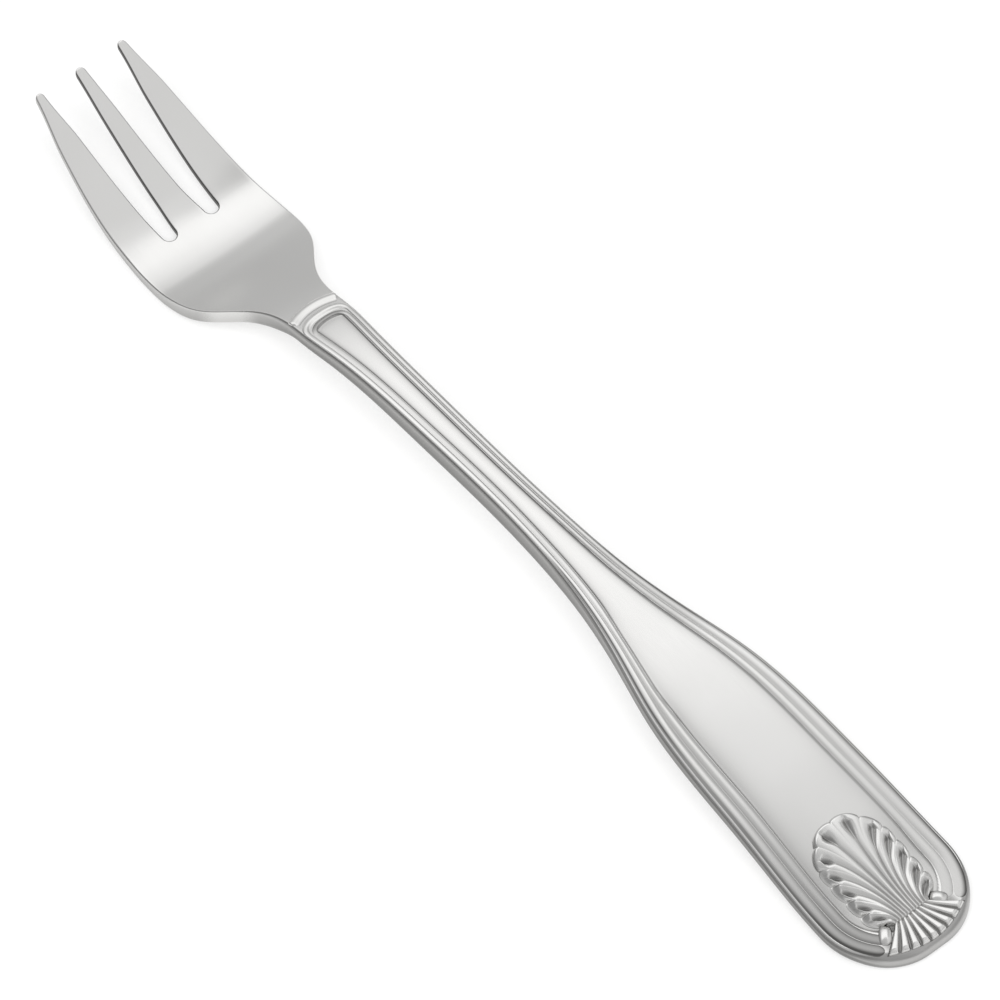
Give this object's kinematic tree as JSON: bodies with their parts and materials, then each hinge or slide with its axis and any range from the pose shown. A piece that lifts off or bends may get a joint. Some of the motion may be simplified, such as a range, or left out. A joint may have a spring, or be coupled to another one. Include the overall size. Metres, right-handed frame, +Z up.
{
  "type": "oyster fork",
  "caption": "Slim small table fork with short tapered tines, a slender stem and a broad fiddle handle edged with threads and ending in a scallop shell.",
  "frame": {"origin": "on the table plane, under the middle of the fork's length and width", "axes": "+X from the handle to the tips of the tines, +Y to the left, +Z up out of the face"},
  "size_m": [0.1454, 0.0188, 0.0106],
  "materials": {
    "stainless_steel": "satin polished stainless steel"
  },
  "bodies": {
    "root": {"tine_left": "stainless_steel", "tine_middle": "stainless_steel", "tine_right": "stainless_steel", "bowl": "stainless_steel", "neck": "stainless_steel", "stem": "stainless_steel", "flare": "stainless_steel", "blade": "stainless_steel", "handle_end": "stainless_steel", "thread_outer_left": "stainless_steel", "thread_outer_right": "stainless_steel", "thread_inner_left": "stainless_steel", "thread_inner_right": "stainless_steel", "arch_outer": "stainless_steel", "arch_inner": "stainless_steel", "shell_fan": "stainless_steel", "shell_foot": "stainless_steel", "scroll_left": "stainless_steel", "scroll_right": "stainless_steel"}
  },
  "joints": []
}
